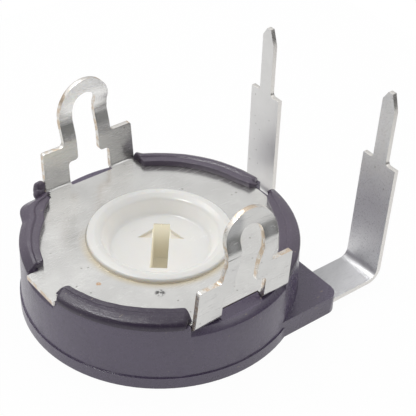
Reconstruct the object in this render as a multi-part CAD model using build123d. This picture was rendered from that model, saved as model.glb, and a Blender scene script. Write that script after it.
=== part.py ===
from build123d import *
from math import cos, hypot, radians, sin
import os

# A single-turn carbon preset potentiometer for a printed circuit board, lying on its back.
#
# A moulded cup holds a phenolic wafer with a horseshoe track of carbon. A white rotor turns in a
# bearing in the floor and carries a spring wiper along the track. A tinned sheet cover closes the
# cup, where the softened rim of the wall is rolled over its edge in four lips. The cover has two
# snap-in clips bent up from its edge, and is also the wiper's connection to the board. The track's
# two ends go out through flat terminals, bent up beside the body.
#
# The origin is on the rotor's axis at the flat back of the housing. +Z points out of the rotor's
# face, and +X points at the terminals. Lengths are in millimetres, and angles are in degrees,
# counter-clockwise from +X.

# Housing
body_radius = 10.0
band_height = 0.9            # the wider band round the foot of the wall
band_step = 0.1              # how far the wall above it stands back
wall_draft = 0.12            # how much the wall narrows on its way up
wall_thickness = 1.25
floor_thickness = 0.85
bearing_floor = 0.55         # what is left of the floor under the rotor's hub
bearing_wall = 0.65
bearing_height = 2.1
chamber_height = 3.8         # from the floor to the underside of the cover
corner_inset = 0.95          # of the square corners' front, from the body's radius
corner_side_inset = 0.85     # and of their sides
corner_height = 1.45
corner_rounding = 0.9
shoulder_depth = 0.4         # of the wall's sloping outer edge, where no lip stands
shoulder_setback = 0.35

# Lips of the wall, rolled over the edge of the cover
lip_overlap = 0.75
lip_height = 0.55            # above the cover
lip_crest_setback = 0.5      # of the crest, from the wall
lip_edge_drop = 0.1          # of the inner edge, below the crest
lip_shoulder_drop = 0.25     # of the outer edge, below the crest
lip_spans = [                # from its first end to its last
    (4.7, 65.7),
    (114.3, 169.3),
    (188.6, 245.9),
    (294.3, 355.3),
]

# Cover
sheet_thickness = 0.36
cover_inset = 1.0            # of its round edge, from the body's radius
cover_edge_clearance = 0.05
clip_edge_setback = 0.45     # of the cover's edge between the feet of a clip
tab_half_width = 1.64

# Snap-in clips of the cover, each an open loop on two feet
clip_bend_radius = 0.4
clip_crease_radius = 0.9
clip_foot_half_width = 3.88
clip_foot_gap_half_width = 1.77
clip_shoulder_half_width = 3.8
clip_neck_half_width = 2.0
clip_loop_radius = 2.02
clip_strand_width = 1.08
clip_shoulder_height = 8.1
clip_notch_height = 6.75
clip_loop_height = 11.05     # the centre of the loop's round top
clip_corner_rounding = 0.18
clip_root_rounding = 0.3
clip_plane_lean = 0.3        # how far the sheet stands outward at the shoulder
clip_kink_reach = 0.85       # and at the kink that snaps behind the board
clip_kink_height = 10.2
clip_return_reach = 0.3
clip_return_rise = 1.5       # from the kink to the upper crease
clip_top_reach = 0.05
clip_crease_height = 8.45

# Rotor
hub_radius = 2.9
hub_clearance = 0.05
hub_bottom_gap = 0.05
flange_inset = 0.7           # of the flange's edge, from the middle of the track
flange_thickness = 1.2
flange_gap = 0.15            # below the cover
collar_inset = 0.75          # of the collar, from the flange's edge
collar_clearance = 0.07
rim_height = 0.3             # above the cover
rim_crest_inset = 0.4        # of the rim's crest, from the collar
rim_edge_height = 0.14
bowl_top_inset = 0.85
bowl_floor_inset = 1.65
bowl_depth = 1.25
slot_end_margin = 1.03       # from the end of the slot to the edge of the bowl's floor
slot_width = 1.2
slot_depth = 3.2
arrow_half_width = 1.65
arrow_length = 1.65
arrow_depth = 0.22
arrow_angle = 51.4           # where the arrow points as the object lies
stake_radius = 0.4
stake_count = 2
stake_length = 0.4

# End stop
stop_half_angle = 33.0
tooth_half_angle = 14.0
tooth_clearance = 0.35       # to the wall
stop_depth = 1.15            # of the block, from the wall inward
stop_bottom_gap = 0.4        # above the wafer

# Wafer with its track
wafer_thickness = 0.6
wafer_clearance = 0.1
film_thickness = 0.05
track_inset = 2.05           # of the track's middle, from the wall
track_width = 2.0
track_end_angle = 54.0
pad_end_angle = 14.0

# Rivets that join the track's ends to the terminals
rivet_angle = 28.0
rivet_radius = 0.62
rivet_bore_radius = 0.4
rivet_head_radius = 1.05
rivet_head_thickness = 0.2
rivet_clearance = 0.03
rivet_pocket_clearance = 0.1

# Terminals
terminal_thickness = 0.35
terminal_half_width = 1.56
terminal_bend_radius = 0.9
terminal_foot_radius = 1.55
terminal_groove_clearance = 0.04
terminal_tip_half_width = 0.62
terminal_tip_length = 5.45   # above the square shoulders
terminal_long_taper = 1.25
terminal_short_taper = 0.65
terminal_point_half_width = 0.2
terminal_root_rounding = 0.3
terminal_stand_off = 3.1     # from the body's radius to the middle of the upright leg
front_terminal_inset = 1.85  # the middle of the strip, from the side of the square corner
front_terminal_height = 15.45
front_terminal_lean = 0.045  # outward, for each millimetre of height
rear_terminal_inset = 4.65
rear_terminal_height = 15.15
rear_terminal_lean = 0.0

# Wiper
spring_thickness = 0.15
spring_ring_inset = 0.5      # of the ring's edge, from the flange's edge
spring_ring_clearance = 0.1
arm_half_width = 0.9
arm_bend_radius = 0.25
contact_gap = 0.04           # between a contact and what it rubs on
brush_radius = 0.7
brush_height = 0.45
brush_shank_radius = 0.35
brush_head_radius = 0.55
brush_head_height = 0.15
collector_angle = 120.0      # each side of the contact arm
collector_half_width = 0.7
collector_pad_length = 0.6
collector_clearance = 0.2    # to the stop block

# Levels and radii that follow from the sizes above
wall_radius = body_radius - band_step
wall_top_radius = wall_radius - wall_draft
chamber_radius = wall_radius - wall_thickness
corner_reach = body_radius - corner_inset
corner_half_width = body_radius - corner_side_inset
cover_radius = body_radius - cover_inset
clip_distance = cover_radius
tab_reach = wall_top_radius
cover_bottom = floor_thickness + chamber_height
shoulder_bottom = cover_bottom - shoulder_depth
shoulder_radius = wall_radius - wall_draft * (
    (shoulder_bottom - band_height) / (cover_bottom - band_height)
)
cover_top = cover_bottom + sheet_thickness
lip_inner_radius = cover_radius - lip_overlap
lip_top = cover_top + lip_height
clip_return_height = clip_kink_height + clip_return_rise
stop_inner_radius = chamber_radius - stop_depth
tooth_radius = chamber_radius - tooth_clearance
track_radius = chamber_radius - track_inset
hub_bore_radius = hub_radius + hub_clearance
bearing_radius = hub_bore_radius + bearing_wall
flange_radius = track_radius - flange_inset
collar_radius = flange_radius - collar_inset
rim_crest_radius = collar_radius - rim_crest_inset
bowl_top_radius = collar_radius - bowl_top_inset
bowl_floor_radius = collar_radius - bowl_floor_inset
slot_length = 2 * (bowl_floor_radius - slot_end_margin)
flange_top = cover_bottom - flange_gap
flange_bottom = flange_top - flange_thickness
hub_bottom = bearing_floor + hub_bottom_gap
bowl_floor = cover_top + rim_height - bowl_depth
wafer_top = floor_thickness + wafer_thickness
film_top = wafer_top + film_thickness
terminal_bottom = floor_thickness - terminal_thickness
terminal_reach = body_radius + terminal_stand_off
front_terminal_place = front_terminal_inset - corner_half_width
rear_terminal_place = corner_half_width - rear_terminal_inset
rivet_hole_radius = rivet_radius + rivet_clearance
spring_ring_radius = flange_radius - spring_ring_inset
stake_ring_radius = (hub_radius + spring_ring_radius) / 2
spring_top = flange_bottom
spring_bottom = spring_top - spring_thickness
brush_bottom = film_top + contact_gap
arm_pad_bottom = brush_bottom + brush_height
collector_top = cover_bottom - contact_gap
collector_end_radius = stop_inner_radius - collector_clearance

BOTTOM = (Align.CENTER, Align.CENTER, Align.MIN)


def disc(radius, low, high):
    """A cylinder on the axis from one height to another."""
    return Pos(0, 0, low) * Cylinder(radius, high - low, align=BOTTOM)


def ring(outer, inner, low, high):
    return disc(outer, low, high) - disc(inner, low, high)


def block(x_low, x_high, y_low, y_high, low, high):
    """A box given by its sides."""
    corner = (Align.MIN, Align.MIN, Align.MIN)
    return Pos(x_low, y_low, low) * Box(x_high - x_low, y_high - y_low, high - low, align=corner)


def sector(inner, outer, start, end, low, high):
    """A piece of a ring between two angles."""
    outer_arc = CenterArc((0, 0), outer, start, end - start)
    inner_arc = CenterArc((0, 0), inner, start, end - start)
    sides = [Line(inner_arc @ 0, outer_arc @ 0), Line(inner_arc @ 1, outer_arc @ 1)]
    face = make_face([outer_arc, inner_arc] + sides)
    return Pos(0, 0, low) * extrude(face, high - low)


def turned(points, angle=360.0, start=0.0):
    """A solid turned about the axis from an outline of radius and height."""
    face = Plane.XZ * make_face(Polyline(*points, close=True))
    return Rot(0, 0, start) * revolve(face, Axis.Z, angle)


def on_circle(radius, angle):
    return (radius * cos(radians(angle)), radius * sin(radians(angle)))


def bent_sheet(plane, path, radii, thickness, width):
    """Sheet metal seen from its side: a path with rounded bends, given its thickness."""
    line = FilletPolyline(*path, radius=radii)
    side = offset(line, thickness / 2, side=Side.BOTH)
    return extrude(plane * make_face(side), width / 2, both=True)


def mirrored_outline(points):
    """A face on the XZ plane from the right half of its outline, bottom to top."""
    left = [(-x, z) for x, z in reversed(points)]
    return make_face(Polyline(*points, *left, close=True))


def cover_root_room():
    """The room beside the clips and the tab, where the lips' roots stand clear of the cover."""
    half_width = clip_foot_half_width + cover_edge_clearance
    tab_room = tab_half_width + cover_edge_clearance
    room = block(
        -half_width, half_width, body_radius / 2, body_radius, cover_bottom, cover_top
    )
    return [
        room,
        Rot(0, 0, 180) * room,
        block(-body_radius, -body_radius / 2, -tab_room, tab_room, cover_bottom, cover_top),
    ]


def lips():
    """The four arcs of softened wall, rolled over the cover between its clips and tab."""
    root_radius = cover_radius + cover_edge_clearance
    section = [
        (chamber_radius + 0.1, shoulder_bottom),
        (chamber_radius + 0.1, cover_bottom - 0.02),
        (root_radius, cover_bottom - 0.02),
        (root_radius, cover_top),
        (lip_inner_radius, cover_top),
        (lip_inner_radius, lip_top - lip_edge_drop),
        (wall_top_radius - lip_crest_setback, lip_top),
        (wall_top_radius, lip_top - lip_shoulder_drop),
        (wall_top_radius, cover_bottom),
        (shoulder_radius, shoulder_bottom),
    ]
    return [
        turned(section, end - start, start) - cover_root_room() for start, end in lip_spans
    ]


def terminal_outline(place, height):
    """The blank of an upright terminal: a wide leg, then a narrow pointed tip for the board."""
    shoulder = height - terminal_tip_length
    face = make_face(Polyline(
        (-terminal_half_width, 0),
        (-terminal_half_width, shoulder),
        (-terminal_tip_half_width, shoulder),
        (-terminal_tip_half_width, height - terminal_long_taper),
        (-terminal_point_half_width, height),
        (terminal_point_half_width, height),
        (terminal_tip_half_width, height - terminal_short_taper),
        (terminal_tip_half_width, shoulder),
        (terminal_half_width, shoulder),
        (terminal_half_width, 0),
        close=True,
    ))
    roots = [
        v for v in face.vertices()
        if abs(v.Y - shoulder) < 0.01 and abs(v.X) < terminal_half_width - 0.01
    ]
    return Pos(0, place, 0) * (Plane.YZ * fillet(roots, terminal_root_rounding))


def terminal_foot(rivet_place, strip_place, low, high, grow=0.0):
    """The flat inner end of a terminal, from its rivet to the strip under the wall."""
    radius = terminal_foot_radius + grow
    half_width = terminal_half_width + grow
    inner_x = rivet_place[0] + terminal_foot_radius
    hull = make_hull(
        (Pos(*rivet_place) * Circle(radius)).edges()
        + (Pos(inner_x, strip_place) * Rectangle(0.2, 2 * half_width)).edges()
    )
    return Pos(0, 0, low) * extrude(hull, high - low)


def terminal(place, height, lean, rivet_place):
    """A strip from its rivet under the wafer, out through the wall and up beside the body."""
    middle = terminal_bottom + terminal_thickness / 2
    top = height + terminal_thickness
    path = [
        (rivet_place[0] + terminal_foot_radius, middle),
        (terminal_reach, middle),
        (terminal_reach + lean * (top - middle), top),
    ]
    sheet = bent_sheet(Plane.XZ, path, terminal_bend_radius, terminal_thickness, 4 * body_radius)
    blank = extrude(terminal_outline(place, height), 2 * body_radius)
    foot = terminal_foot(rivet_place, place, terminal_bottom, floor_thickness)
    hole = Pos(*rivet_place, 0) * disc(rivet_hole_radius, 0, cover_bottom)
    return (sheet & blank) + foot - hole


def terminal_groove(place, rivet_place):
    """The room that a terminal's flat part takes in the floor and under the wall."""
    half_width = terminal_half_width + terminal_groove_clearance
    start = rivet_place[0] + terminal_foot_radius - 0.1
    strip = block(
        start, body_radius, place - half_width, place + half_width,
        terminal_bottom, floor_thickness,
    )
    foot = terminal_foot(
        rivet_place, place, terminal_bottom, floor_thickness, terminal_groove_clearance
    )
    pocket_radius = rivet_head_radius + rivet_pocket_clearance
    pocket = Pos(*rivet_place, 0) * disc(pocket_radius, 0, terminal_bottom)
    return strip + foot + pocket


def housing():
    """The moulded cup, with its square corners, bearing, end stop and rolled lips."""
    cup = turned([
        (0, 0),
        (body_radius, 0),
        (body_radius, band_height),
        (wall_radius, band_height),
        (shoulder_radius, shoulder_bottom),
        (shoulder_radius - shoulder_setback, cover_bottom),
        (chamber_radius, cover_bottom),
        (chamber_radius, floor_thickness),
        (bearing_radius, floor_thickness),
        (bearing_radius, bearing_height),
        (hub_bore_radius, bearing_height),
        (hub_bore_radius, bearing_floor),
        (0, bearing_floor),
    ])
    corners = block(
        0, corner_reach, -corner_half_width, corner_half_width, 0, corner_height
    )
    upright = corners.edges().filter_by(Axis.Z).sort_by(Axis.X)[-2:]
    corners = fillet(upright, corner_rounding) - disc(wall_radius - 0.1, 0, corner_height)
    stop = sector(
        stop_inner_radius, chamber_radius + 0.1, -stop_half_angle, stop_half_angle,
        wafer_top + stop_bottom_gap, flange_top,
    )
    body = cup + corners + stop
    for lip in lips():
        body += lip
    for place, _, _, rivet_place in terminals:
        body -= terminal_groove(place, rivet_place)
    return body


def clip_outline():
    """The blank of a clip: two feet, square shoulders, a narrow neck and a round loop."""
    inner_half_width = clip_neck_half_width - clip_strand_width
    inner_radius = clip_loop_radius - clip_strand_width
    outer = mirrored_outline([
        (clip_foot_half_width, floor_thickness),
        (clip_foot_half_width, cover_top),
        (clip_shoulder_half_width, clip_shoulder_height),
        (clip_neck_half_width, clip_shoulder_height),
        (clip_loop_radius, clip_loop_height),
    ])
    outer += Pos(0, clip_loop_height) * Circle(clip_loop_radius)
    shoulders = [v for v in outer.vertices() if abs(v.Y - clip_shoulder_height) < 0.01]
    shoulders.sort(key=lambda v: abs(v.X))
    outer = fillet(shoulders[:2], clip_root_rounding)
    corners = [v for v in outer.vertices() if abs(abs(v.X) - clip_shoulder_half_width) < 0.01]
    outer = fillet(corners, clip_corner_rounding)
    inner = mirrored_outline([
        (clip_foot_gap_half_width, floor_thickness),
        (clip_foot_gap_half_width, clip_notch_height),
        (inner_half_width, clip_notch_height),
        (inner_radius, clip_loop_height),
    ])
    inner += Pos(0, clip_loop_height) * Circle(inner_radius)
    corners = [v for v in inner.vertices() if abs(v.Y - clip_notch_height) < 0.01]
    inner = fillet(corners, clip_root_rounding)
    return outer - inner


def clip():
    """One clip on the +Y side, as its blank crossed with its side view."""
    middle = cover_bottom + sheet_thickness / 2
    path = [
        (clip_distance - 4 * clip_bend_radius, middle),
        (clip_distance, middle),
        (clip_distance + clip_plane_lean, clip_crease_height),
        (clip_distance + clip_kink_reach, clip_kink_height),
        (clip_distance + clip_return_reach, clip_return_height),
        (clip_distance + clip_top_reach, clip_loop_height + 2 * clip_loop_radius),
    ]
    radii = [clip_bend_radius] + [clip_crease_radius] * 3
    sheet = bent_sheet(Plane.YZ, path, radii, sheet_thickness, 4 * clip_foot_half_width)
    blank = extrude(Plane.XZ * clip_outline(), -2 * body_radius)
    return sheet & blank


def cover_plate():
    """The tinned sheet cover with its tab, rotor hole and two clips."""
    edge = clip_distance - clip_edge_setback
    foot_start = clip_distance - 2 * clip_bend_radius
    plate = disc(cover_radius, cover_bottom, cover_top)
    plate += block(
        -clip_foot_half_width, clip_foot_half_width, -edge, edge, cover_bottom, cover_top
    )
    plate += block(
        -tab_reach, 0, -tab_half_width, tab_half_width, cover_bottom, cover_top
    )
    plate -= disc(collar_radius + collar_clearance, cover_bottom, cover_top)
    gap = clip_foot_gap_half_width
    for side in (0, 180):
        for low, high, start in (
            (-body_radius, -gap, foot_start), (-gap, gap, edge), (gap, body_radius, foot_start),
        ):
            plate -= Rot(0, 0, side) * block(
                low, high, start, body_radius, cover_bottom, cover_top
            )
        plate += Rot(0, 0, side) * clip()
    return plate


def resistive_wafer():
    wafer = ring(
        chamber_radius - wafer_clearance, bearing_radius + wafer_clearance,
        floor_thickness, wafer_top,
    )
    for *_, rivet_place in terminals:
        wafer -= Pos(*rivet_place, 0) * disc(rivet_hole_radius, 0, cover_bottom)
    return wafer


def track_film(start, end):
    inner = track_radius - track_width / 2
    outer = track_radius + track_width / 2
    return sector(inner, outer, start, end, wafer_top, film_top)


def end_pad(start, end, rivet_place):
    hole = Pos(*rivet_place, 0) * disc(rivet_hole_radius, 0, cover_bottom)
    return track_film(start, end) - hole


def rivet(rivet_place):
    """A hollow rivet from under its terminal to the top of its pad."""
    low = terminal_bottom - rivet_head_thickness
    high = film_top + rivet_head_thickness
    shank = disc(rivet_radius, low, high)
    heads = disc(rivet_head_radius, low, terminal_bottom) + disc(rivet_head_radius, film_top, high)
    return Pos(*rivet_place, 0) * (shank + heads - disc(rivet_bore_radius, low, high))


def arrow_mark():
    """The shallow arrowhead at the far end of the slot, before it is sunk into the bowl."""
    tip = slot_length / 2
    base = tip - arrow_length
    face = make_face(Polyline(
        (tip, 0), (base, arrow_half_width), (base, -arrow_half_width), close=True
    ))
    return Pos(0, 0, bowl_floor - arrow_depth) * extrude(face, bowl_depth)


def rotor():
    """The white rotor with its screwdriver slot, bearing hub, flange and stop tooth."""
    rim_top = cover_top + rim_height
    rim_edge = cover_top + rim_edge_height
    body = turned([
        (0, hub_bottom),
        (hub_radius, hub_bottom),
        (hub_radius, flange_bottom),
        (flange_radius, flange_bottom),
        (flange_radius, flange_top),
        (collar_radius, flange_top),
        (collar_radius, rim_edge),
        (rim_crest_radius, rim_top),
        (bowl_top_radius, rim_top - 0.05),
        (bowl_floor_radius, bowl_floor),
        (0, bowl_floor),
    ])
    slot = Pos(0, 0, bowl_floor - slot_depth) * Box(
        slot_length, slot_width, slot_depth + bowl_depth, align=BOTTOM
    )
    tooth = sector(
        flange_radius - 0.1, tooth_radius, -tooth_half_angle, tooth_half_angle,
        flange_bottom, flange_top,
    )
    body = body + tooth - slot - arrow_mark()
    for place in stake_places():
        body += Pos(*place, 0) * disc(stake_radius, flange_bottom - stake_length, flange_bottom)
    return Rot(0, 0, arrow_angle) * body


def stake_places():
    """Where the rotor's moulded stakes hold the spring, on either side of its contact arm."""
    step = 360.0 / stake_count
    return [on_circle(stake_ring_radius, step * (turn + 0.5)) for turn in range(stake_count)]


def wiper_spring():
    """A sheet ring under the rotor, with one arm down to the track and two up to the cover."""
    middle = spring_top - spring_thickness / 2
    inner = hub_radius + spring_ring_clearance
    spring = ring(spring_ring_radius, inner, spring_bottom, spring_top)
    pad_middle = arm_pad_bottom + spring_thickness / 2
    contact_path = [
        (spring_ring_radius - arm_half_width, middle),
        (spring_ring_radius, middle),
        (track_radius - arm_half_width, pad_middle),
        (track_radius + arm_half_width, pad_middle),
    ]
    arm = bent_sheet(Plane.XZ, contact_path, arm_bend_radius, spring_thickness, 2 * arm_half_width)
    spring += arm
    collector_middle = collector_top - spring_thickness / 2
    collector_bend = flange_radius + arm_bend_radius
    collector_path = [
        (spring_ring_radius - arm_half_width, middle),
        (collector_bend, middle),
        (collector_end_radius - collector_pad_length, collector_middle),
        (collector_end_radius, collector_middle),
    ]
    collector = bent_sheet(
        Plane.XZ, collector_path, arm_bend_radius, spring_thickness, 2 * collector_half_width
    )
    for turn in (-collector_angle, collector_angle):
        spring += Rot(0, 0, turn) * collector
    spring -= Pos(track_radius, 0, 0) * disc(brush_shank_radius, 0, cover_bottom)
    for place in stake_places():
        spring -= Pos(*place, 0) * disc(stake_radius, 0, cover_bottom)
    return Rot(0, 0, arrow_angle) * spring


def wiper_brush():
    """The contact button, with its shank riveted over the arm of the spring."""
    arm_top = arm_pad_bottom + spring_thickness
    brush = disc(brush_radius, brush_bottom, arm_pad_bottom)
    brush += disc(brush_shank_radius, brush_bottom, arm_top + brush_head_height)
    brush += disc(brush_head_radius, arm_top, arm_top + brush_head_height)
    return Rot(0, 0, arrow_angle) * (Pos(track_radius, 0, 0) * brush)


front_rivet_place = on_circle(track_radius, -rivet_angle)
rear_rivet_place = on_circle(track_radius, rivet_angle)
terminals = [
    (front_terminal_place, front_terminal_height, front_terminal_lean, front_rivet_place),
    (rear_terminal_place, rear_terminal_height, rear_terminal_lean, rear_rivet_place),
]

nodes = {
    "housing": housing(),
    "cover_plate": cover_plate(),
    "resistive_wafer": resistive_wafer(),
    "carbon_track": track_film(track_end_angle, 360.0 - track_end_angle),
    "front_end_pad": end_pad(-track_end_angle, -pad_end_angle, front_rivet_place),
    "rear_end_pad": end_pad(pad_end_angle, track_end_angle, rear_rivet_place),
    "front_terminal": terminal(*terminals[0]),
    "rear_terminal": terminal(*terminals[1]),
    "front_rivet": rivet(front_rivet_place),
    "rear_rivet": rivet(rear_rivet_place),
    "rotor": rotor(),
    "wiper_spring": wiper_spring(),
    "wiper_brush": wiper_brush(),
}

os.makedirs("parts", exist_ok=True)
for name, shape in nodes.items():
    export_step(shape, f"parts/{name}.step")
    print(f"{name}: {shape.volume:.3f} mm3")
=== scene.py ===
# %% [markdown]
# # A carbon preset potentiometer, dressed for the camera
# The measured solids of the part come in first. They are the frame: nothing below moves or resizes
# them. Each lesson then takes one piece of the real component, says what it is made of, and either
# gives its solid a finish or builds a finer piece that stands in the same place.

# %% Load the measured frame
from math import atan2, cos, degrees, pi, radians, sin

import bmesh
import bpy
from mathutils import Euler, Matrix, Vector, noise


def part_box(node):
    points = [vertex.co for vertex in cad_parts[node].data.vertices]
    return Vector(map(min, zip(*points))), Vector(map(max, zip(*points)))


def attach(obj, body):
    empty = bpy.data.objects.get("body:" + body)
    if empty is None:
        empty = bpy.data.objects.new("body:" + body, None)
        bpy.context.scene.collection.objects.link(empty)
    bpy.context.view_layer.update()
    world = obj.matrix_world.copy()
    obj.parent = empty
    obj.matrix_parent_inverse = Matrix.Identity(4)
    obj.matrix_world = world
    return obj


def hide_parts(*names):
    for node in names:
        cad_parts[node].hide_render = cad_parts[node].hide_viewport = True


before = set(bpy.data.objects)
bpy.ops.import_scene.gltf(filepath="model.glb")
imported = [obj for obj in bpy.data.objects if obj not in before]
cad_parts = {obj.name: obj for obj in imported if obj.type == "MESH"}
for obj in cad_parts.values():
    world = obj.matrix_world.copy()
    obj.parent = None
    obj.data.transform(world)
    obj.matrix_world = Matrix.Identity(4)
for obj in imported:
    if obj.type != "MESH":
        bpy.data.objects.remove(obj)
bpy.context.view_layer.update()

mm = 0.001

# %% [markdown]
# ## Two classes for node trees
# A material or a Geometry Nodes tree is a graph of small boxes. Drawing it by hand hides the sums in
# a web of links, so two small classes let them be written as sums. `Wire` holds one output socket
# and turns `a * b + c` into Math nodes.

# %% Wire
class Wire:
    """One output of a node. Sums written on it become Math nodes."""

    def __init__(self, tree, socket):
        self.tree, self.socket = tree, socket

    def maths(self, operation, first, second):
        return self.tree.node("ShaderNodeMath", {"operation": operation}, {0: first, 1: second})

    def __add__(self, other):
        return self.maths("ADD", self, other)

    def __sub__(self, other):
        return self.maths("SUBTRACT", self, other)

    def __rsub__(self, other):
        return self.maths("SUBTRACT", other, self)

    def __mul__(self, other):
        return self.maths("MULTIPLY", self, other)

    def __truediv__(self, other):
        return self.maths("DIVIDE", self, other)

    def __rtruediv__(self, other):
        return self.maths("DIVIDE", other, self)

    def __pow__(self, other):
        return self.maths("POWER", self, other)

    def __gt__(self, other):
        return self.maths("GREATER_THAN", self, other)

    def __lt__(self, other):
        return self.maths("LESS_THAN", self, other)

    __radd__, __rmul__ = __add__, __mul__


print("sums with a number in front:", [name for name in vars(Wire) if name.startswith("__r")])

# %% [markdown]
# `Tree` adds any other node from its type, its settings and what feeds its sockets. Settings come
# first, because some of them change which sockets a node has.

# %% Tree
class Tree:
    """A node tree that is written down line by line."""

    def __init__(self, tree):
        self.tree = tree
        tree.nodes.clear()

    def feed(self, socket, value):
        if isinstance(value, Wire):
            self.tree.links.new(value.socket, socket)
        elif hasattr(socket.default_value, "__len__"):
            room = len(socket.default_value)
            socket.default_value = (tuple(value) + (1.0,))[:room]
        else:
            socket.default_value = value

    def node(self, kind, settings=None, inputs=None, out=0):
        made = self.tree.nodes.new(kind)
        for name, value in (settings or {}).items():
            setattr(made, name, value)
        for name, value in (inputs or {}).items():
            self.feed(made.inputs[name], value)
        return Wire(self, made.outputs[out]) if made.outputs else made

    def clamp(self, value, low=0.0, high=1.0):
        return self.node("ShaderNodeClamp", None, {"Value": value, "Min": low, "Max": high})

    def step(self, value, start, end, low=0.0, high=1.0):
        """Goes smoothly from low to high while value goes from start to end."""
        return self.node(
            "ShaderNodeMapRange", {"interpolation_type": "SMOOTHSTEP"},
            {"Value": value, "From Min": start, "From Max": end, "To Min": low, "To Max": high},
        )

    def vector(self, operation, first, second=None, scale=None, out=0):
        inputs = {0: first}
        if second is not None:
            inputs[1] = second
        if scale is not None:
            inputs["Scale"] = scale
        return self.node("ShaderNodeVectorMath", {"operation": operation}, inputs, out)

    def split(self, vector):
        first = self.node("ShaderNodeSeparateXYZ", None, {0: vector})
        return [Wire(self, socket) for socket in first.socket.node.outputs]


print("tree helpers:", [name for name in vars(Tree) if not name.startswith("_")])

# %% [markdown]
# ## One class for finishes
# Every finish is procedural: noise measured in millimetres, read from Object coordinates. Pictures
# could be wrapped round the pieces instead, but they would have to be unwrapped and would blur up
# close. All the pieces keep their origin on the rotor's axis, so one millimetre is the same size
# everywhere and a mark can be given its place on the object.

# %% Finish
class Finish(Tree):
    """A material on one Principled shader."""

    def __init__(self, name):
        self.material = bpy.data.materials.new(name)
        self.material.use_nodes = True
        super().__init__(self.material.node_tree)
        self.place = self.node("ShaderNodeTexCoord", out="Object")
        self.x, self.y, self.z = [wire / mm for wire in self.split(self.place)]

    def mix(self, share, first, second):
        """Goes from the first colour to the second as share goes from 0 to 1."""
        inputs = {0: share, 6: first, 7: second}
        return self.node("ShaderNodeMix", {"data_type": "RGBA"}, inputs, 2)

    def noise(self, size, detail=2.0, rough=0.5, seed=0.0):
        """Cloudy noise with patches of about this size in mm."""
        at = self.vector("ADD", self.place, (seed, seed * 0.7, seed * 1.3))
        inputs = {"Vector": at, "Scale": 1 / (size * mm), "Detail": detail, "Roughness": rough}
        return self.node("ShaderNodeTexNoise", None, inputs)

    def strokes(self, width, length, turn, share, seed=0.0):
        """Fine straight marks: 1 on a mark, 0 beside it. turn is the direction, as three angles."""
        turned = self.node("ShaderNodeMapping", None, {
            "Vector": self.place, "Location": (seed, seed * 0.7, seed * 1.3),
            "Rotation": [radians(angle) for angle in turn],
            "Scale": (1 / (length * mm), 1 / (width * mm), 1 / (width * mm)),
        })
        grain = self.node(
            "ShaderNodeTexNoise", None, {"Vector": turned, "Scale": 1.0, "Detail": 1.0}
        )
        return self.step(grain, share, share + 0.05)

    def specks(self, size, share, seed=0.0):
        """Small round spots, one in some of the cells of a loose grid."""
        at = self.vector("ADD", self.place, (seed, seed, seed))
        inputs = {"Vector": at, "Scale": 1 / (size * mm)}
        far = self.node("ShaderNodeTexVoronoi", {"feature": "F1"}, inputs)
        cell = self.node("ShaderNodeTexVoronoi", {"feature": "F1"}, inputs, "Color")
        chosen = self.split(cell)[0] < share
        return self.step(far, 0.22, 0.12) * chosen

    def spot(self, x, y, z, radius, soft=0.5):
        """One soft round mark at a place on the object, in mm."""
        far = self.vector("DISTANCE", self.place, (x * mm, y * mm, z * mm), out="Value")
        return self.step(far, radius * mm, radius * soft * mm)

    def from_axis(self):
        """The distance from the rotor's axis, in mm."""
        return (self.x * self.x + self.y * self.y) ** 0.5

    def behind(self):
        """How far a point lies behind the rotor's axis in the photograph, in mm."""
        return self.x * 0.59 + self.y * 0.81

    def bump(self, height, depth, below=None):
        """Raises the surface by height times depth, in mm."""
        inputs = {"Height": height, "Distance": depth * mm, "Strength": 1.0}
        if below is not None:
            inputs["Normal"] = below
        return self.node("ShaderNodeBump", None, inputs)

    def done(self, **sockets):
        """Closes the material with a Principled shader: underscores stand for spaces."""
        inputs = {name.replace("_", " "): value for name, value in sockets.items()}
        shader = self.node("ShaderNodeBsdfPrincipled", None, inputs)
        self.node("ShaderNodeOutputMaterial", None, {"Surface": shader})
        print("finish:", self.material.name, len(self.tree.nodes), "nodes")
        return self.material


# %% [markdown]
# ## Dark moulding
# The cup is a hard dark moulding with a purple tone and a satin skin. Under a lamp it mirrors the
# white table, so much of its colour is reflection. Pale fibres of the filler lie in it here and
# there. Worn patches change its tone, gloss and surface together, as rubbing does. Where the wall was
# softened and rolled over the cover, the skin mirrors less and is coarser, with pale glints painted
# into its colour, and the side nearest the camera is painted darker, as shade. Both skins come from
# one function, with other values.

# %% Moulding finish
cover_low, cover_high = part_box("cover_plate")
cover_bottom = cover_low.z / mm
cover_top = cover_bottom + 0.36


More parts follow.
